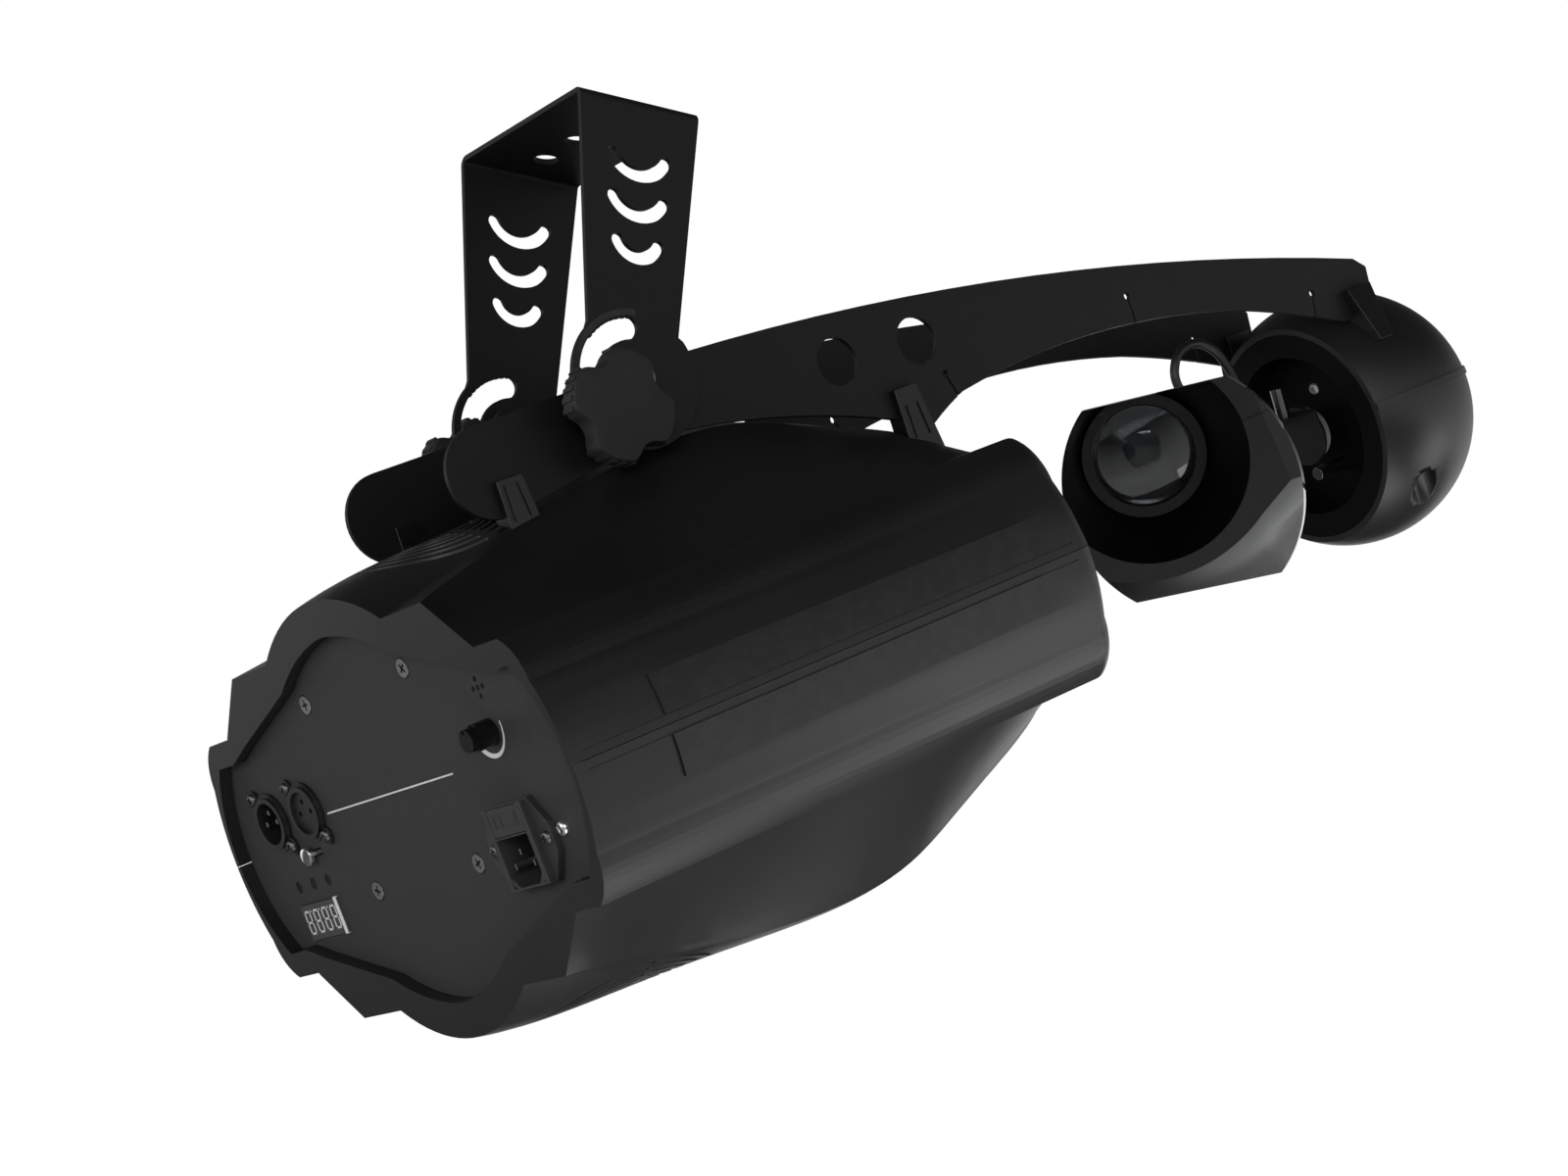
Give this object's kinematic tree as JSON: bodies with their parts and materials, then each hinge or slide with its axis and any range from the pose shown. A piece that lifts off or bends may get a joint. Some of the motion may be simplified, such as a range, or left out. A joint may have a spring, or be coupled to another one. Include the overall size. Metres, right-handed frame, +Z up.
{
  "type": "led scanner light",
  "caption": "Stage scanner light: a domed housing on a tilting U bracket, with arms that hold a motorised mirror in front of the lens.",
  "frame": {"origin": "centre of the hanging hole, at the top face of the bracket's plate", "axes": "+X forwards, to the mirror end; +Y to the far side; +Z up, away from the lamp, along the hanging bolt"},
  "size_m": [0.6288, 0.2926, 0.4051],
  "materials": {
    "black_steel": "satin black powder coat",
    "shell_plastic": "fine-textured black",
    "panel_paint": "matt black paint",
    "knob_plastic": "black",
    "zinc_steel": "bright zinc",
    "black_screw": "black oxide",
    "socket_plastic": "black",
    "contact_metal": "plated",
    "display_plastic": "dark red filter",
    "board_green": "circuit board",
    "bare_aluminium": "mill finish",
    "motor_metal": "satin",
    "clear_glass": "clear",
    "mirror_glass": "front-silvered",
    "barrel_black": "matt black",
    "ring_silver": "satin",
    "galvanised": "galvanised",
    "fan_plastic": "black",
    "cable_rubber": "black",
    "led_white": "white board with yellow emitter"
  },
  "bodies": {
    "bracket": {"u_bracket": "black_steel"},
    "lamp": {"arm_near": "black_steel", "arm_far": "black_steel", "pivot_screws": "zinc_steel", "washers": "zinc_steel", "nuts": "zinc_steel", "upper_shell": "shell_plastic", "lower_shell": "shell_plastic", "arm_clips": "knob_plastic", "rear_panel": "panel_paint", "small_screws": "black_screw", "signal_sockets": "socket_plastic", "contact_pins": "contact_metal", "mains_inlet": "socket_plastic", "display_module": "display_plastic", "control_board": "board_green", "potentiometer": "motor_metal", "microphone": "motor_metal", "chassis": "galvanised", "heat_sink": "bare_aluminium", "led_module": "led_white", "condenser_lens": "clear_glass", "lens_brackets": "galvanised", "wheel_bracket": "galvanised", "wheel_motors": "motor_metal", "lens_barrel": "barrel_black", "field_lens": "clear_glass", "front_lens": "clear_glass", "lens_ring": "ring_silver", "nose_baffle": "barrel_black", "power_supply": "board_green", "fan_frames": "fan_plastic", "dome_upper": "shell_plastic", "dome_lower": "shell_plastic", "dome_mouth": "shell_plastic", "pan_motor": "motor_metal", "pan_stop_pin": "zinc_steel", "dome_clips": "knob_plastic"},
    "knob_near": {"clamp_knob_near": "knob_plastic", "clamp_stud_near": "zinc_steel"},
    "knob_far": {"clamp_knob_far": "knob_plastic", "clamp_stud_far": "zinc_steel"},
    "pan_head": {"pan_hub": "contact_metal", "pan_yoke": "black_steel", "tilt_motor": "motor_metal", "tilt_motor_cable": "cable_rubber", "yoke_pillar": "contact_metal"},
    "tilt_mirror": {"mirror": "mirror_glass", "mirror_mount": "black_steel"},
    "colour_disc": {"colour_wheel": "bare_aluminium"},
    "gobo_disc": {"gobo_wheel": "bare_aluminium"},
    "fan_top": {"fan_rotor_top": "fan_plastic"},
    "fan_bottom": {"fan_rotor_bottom": "fan_plastic"},
    "level_knob": {"sensitivity_knob": "knob_plastic"},
    "drawer": {"fuse_drawer": "socket_plastic"},
    "latch": {"latch_tab": "contact_metal"},
    "button_1": {"menu_button_1": "socket_plastic"},
    "button_2": {"menu_button_2": "socket_plastic"},
    "button_3": {"menu_button_3": "socket_plastic"}
  },
  "joints": [
    {"name": "lamp_pitch", "type": "hinge", "parent": "bracket", "child": "lamp", "pos_m": [0, 0, -0.124], "axis": [0, -1, 0], "range_deg": [-114, 26]},
    {"name": "clamp_knob_near_turn", "type": "hinge", "parent": "lamp", "child": "knob_near", "pos_m": [-0.01385, -0.05, -0.1411], "axis": [0, 1, 0], "range_deg": [-540, 0]},
    {"name": "clamp_knob_far_turn", "type": "hinge", "parent": "lamp", "child": "knob_far", "pos_m": [-0.01385, 0.05, -0.1411], "axis": [0, -1, 0], "range_deg": [-540, 0]},
    {"name": "mirror_pan", "type": "hinge", "parent": "lamp", "child": "pan_head", "pos_m": [0.41756, 0, -0.06765], "axis": [0.8988, 0, 0.4384], "range_deg": [-97, 82]},
    {"name": "mirror_tilt", "type": "hinge", "parent": "pan_head", "child": "tilt_mirror", "pos_m": [0.34655, 0, -0.10228], "axis": [-0.4346, -0.1305, 0.8911], "range_deg": [-12, 38]},
    {"name": "colour_wheel_spin", "type": "hinge", "parent": "lamp", "child": "colour_disc", "pos_m": [0.03233, 0, -0.21994], "axis": [0.8988, 0, 0.4384], "continuous": true},
    {"name": "gobo_wheel_spin", "type": "hinge", "parent": "lamp", "child": "gobo_disc", "pos_m": [0.03862, 0, -0.21687], "axis": [0.8988, 0, 0.4384], "continuous": true},
    {"name": "top_fan_spin", "type": "hinge", "parent": "lamp", "child": "fan_top", "pos_m": [-0.05262, 0, -0.21686], "axis": [-0.4384, 0, 0.8988], "continuous": true},
    {"name": "bottom_fan_spin", "type": "hinge", "parent": "lamp", "child": "fan_bottom", "pos_m": [0.01051, 0, -0.34629], "axis": [-0.4384, 0, 0.8988], "continuous": true},
    {"name": "sensitivity_turn", "type": "hinge", "parent": "lamp", "child": "level_knob", "pos_m": [-0.08598, -0.0895, -0.28988], "axis": [0.8988, 0, 0.4384], "range_deg": [-150, 150]},
    {"name": "fuse_drawer_slide", "type": "slide", "parent": "lamp", "child": "drawer", "axis": [-0.8988, 0, -0.4384], "range_m": [0, 0.014]},
    {"name": "latch_press", "type": "slide", "parent": "lamp", "child": "latch", "axis": [0.8988, 0, 0.4384], "range_m": [0, 0.0012], "stiffness_N_per_m": 400, "springref_m": -0.001},
    {"name": "menu_button_1_press", "type": "slide", "parent": "lamp", "child": "button_1", "axis": [0.8988, 0, 0.4384], "range_m": [0, 0.0008], "stiffness_N_per_m": 400, "springref_m": -0.001},
    {"name": "menu_button_2_press", "type": "slide", "parent": "lamp", "child": "button_2", "axis": [0.8988, 0, 0.4384], "range_m": [0, 0.0008], "stiffness_N_per_m": 400, "springref_m": -0.001},
    {"name": "menu_button_3_press", "type": "slide", "parent": "lamp", "child": "button_3", "axis": [0.8988, 0, 0.4384], "range_m": [0, 0.0008], "stiffness_N_per_m": 400, "springref_m": -0.001}
  ]
}
